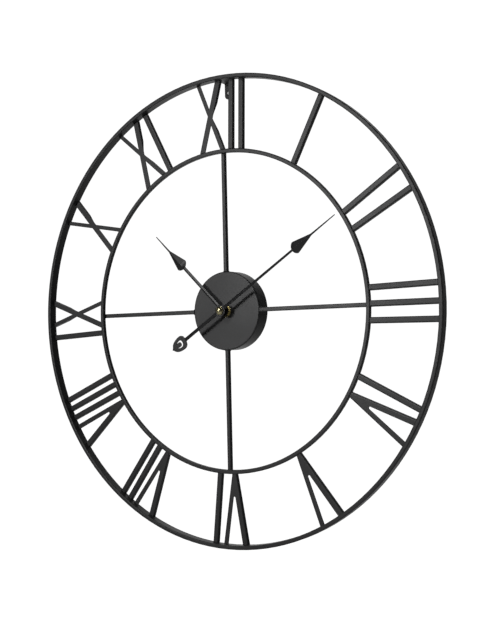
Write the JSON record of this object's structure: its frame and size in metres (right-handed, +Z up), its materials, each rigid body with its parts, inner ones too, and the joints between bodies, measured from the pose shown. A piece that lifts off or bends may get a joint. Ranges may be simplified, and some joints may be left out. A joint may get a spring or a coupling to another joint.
{
  "type": "wall clock",
  "caption": "Round skeleton wall clock: open steel rings with folded Roman numerals, cross spokes, a hub holding a quartz movement, and spade hands.",
  "frame": {"origin": "centre of the hanging hole in the bracket, on the wall plane", "axes": "+Z up, +Y from the dial towards the wall, +X to the right as the dial is read"},
  "size_m": [0.5999, 0.0382, 0.6],
  "materials": {
    "black_powder_coat": "satin black powder coat",
    "black_hand_paint": "satin black paint",
    "brass": "bright turned brass",
    "black_rubber": "matt black",
    "black_movement_plastic": "fine spark-eroded texture",
    "white_plastic": "natural white",
    "gear_plastic": "natural acetal",
    "knob_plastic": "red, ridged",
    "silicon_steel": "rolled lamination",
    "magnet": "dark sintered",
    "copper_wire": "enamelled copper wire",
    "board": "green solder mask",
    "black_resin": "glob-top resin",
    "crystal_can": "drawn metal can",
    "nickel_strip": "nickel-plated strip",
    "battery_sleeve": "printed sleeve, plain"
  },
  "bodies": {
    "clock_frame": {"brass_washer": "brass", "chip_blob": "black_resin", "circuit_board": "board", "coil_bobbin": "white_plastic", "coil_winding": "copper_wire", "hanger": "black_powder_coat", "hub_housing": "black_powder_coat", "inner_ring": "black_powder_coat", "mid_plate": "white_plastic", "mounting_nut": "brass", "movement_back_cover": "black_movement_plastic", "movement_front_case": "black_movement_plastic", "negative_contact": "nickel_strip", "numeral_1": "black_powder_coat", "numeral_10": "black_powder_coat", "numeral_11": "black_powder_coat", "numeral_12": "black_powder_coat", "numeral_2": "black_powder_coat", "numeral_3": "black_powder_coat", "numeral_4": "black_powder_coat", "numeral_5": "black_powder_coat", "numeral_6": "black_powder_coat", "numeral_7": "black_powder_coat", "numeral_8": "black_powder_coat", "numeral_9": "black_powder_coat", "outer_ring": "black_powder_coat", "positive_contact": "nickel_strip", "quartz_crystal": "crystal_can", "rubber_washer": "black_rubber", "spoke_bottom": "black_powder_coat", "spoke_left": "black_powder_coat", "spoke_right": "black_powder_coat", "spoke_top": "black_powder_coat", "stator": "silicon_steel", "threaded_bush": "brass"},
    "minute_assembly": {"minute_hand": "black_hand_paint", "minute_hand_bush": "black_hand_paint", "cap_nut": "brass", "minute_pipe": "gear_plastic"},
    "hour_assembly": {"hour_hand": "black_hand_paint", "hour_hand_bush": "black_hand_paint", "hour_wheel": "gear_plastic"},
    "motion_wheel_body": {"minute_wheel": "gear_plastic"},
    "setting_assembly": {"setting_pinion": "gear_plastic", "setting_knob": "knob_plastic"},
    "rotor_assembly": {"rotor_magnet": "magnet", "rotor_pinion": "gear_plastic"},
    "fifth_wheel_body": {"fifth_wheel": "gear_plastic"},
    "seconds_wheel_body": {"seconds_wheel": "gear_plastic"},
    "third_wheel_body": {"third_wheel": "gear_plastic"},
    "centre_wheel_body": {"centre_wheel": "gear_plastic"},
    "battery_body": {"battery": "battery_sleeve"}
  },
  "joints": [
    {"name": "minute_turn", "type": "hinge", "parent": "clock_frame", "child": "minute_assembly", "pos_m": [0, 0, -0.284], "axis": [0, 1, 0], "continuous": true},
    {"name": "hour_turn", "type": "hinge", "parent": "clock_frame", "child": "hour_assembly", "pos_m": [0, 0, -0.284], "axis": [0, 1, 0], "continuous": true},
    {"name": "motion_wheel_turn", "type": "hinge", "parent": "clock_frame", "child": "motion_wheel_body", "pos_m": [0, 0, -0.276], "axis": [0, 1, 0], "continuous": true},
    {"name": "setting_turn", "type": "hinge", "parent": "clock_frame", "child": "setting_assembly", "pos_m": [0.00594, 0, -0.27006], "axis": [0, 1, 0], "continuous": true},
    {"name": "rotor_turn", "type": "hinge", "parent": "clock_frame", "child": "rotor_assembly", "pos_m": [-0.01641, 0, -0.27798], "axis": [0, 1, 0], "continuous": true},
    {"name": "fifth_wheel_turn", "type": "hinge", "parent": "clock_frame", "child": "fifth_wheel_body", "pos_m": [-0.00779, 0, -0.2795], "axis": [0, 1, 0], "continuous": true},
    {"name": "seconds_wheel_turn", "type": "hinge", "parent": "clock_frame", "child": "seconds_wheel_body", "pos_m": [0, 0, -0.284], "axis": [0, 1, 0], "continuous": true},
    {"name": "third_wheel_turn", "type": "hinge", "parent": "clock_frame", "child": "third_wheel_body", "pos_m": [0.00958, 0, -0.28051], "axis": [0, 1, 0], "continuous": true},
    {"name": "centre_wheel_turn", "type": "hinge", "parent": "clock_frame", "child": "centre_wheel_body", "pos_m": [0, 0, -0.284], "axis": [0, 1, 0], "continuous": true},
    {"name": "battery_slide", "type": "slide", "parent": "clock_frame", "child": "battery_body", "axis": [0, 1, 0], "range_m": [0, 0.03]}
  ],
  "couplings": [
    {"joint": "hour_turn", "follows": "minute_turn", "ratio": 0.083333},
    {"joint": "motion_wheel_turn", "follows": "minute_turn", "ratio": -0.33333},
    {"joint": "setting_turn", "follows": "minute_turn", "ratio": 0.83333},
    {"joint": "fifth_wheel_turn", "follows": "rotor_turn", "ratio": -0.16667},
    {"joint": "seconds_wheel_turn", "follows": "rotor_turn", "ratio": 0.033333},
    {"joint": "third_wheel_turn", "follows": "rotor_turn", "ratio": -0.0044444},
    {"joint": "centre_wheel_turn", "follows": "rotor_turn", "ratio": 0.00055556}
  ]
}
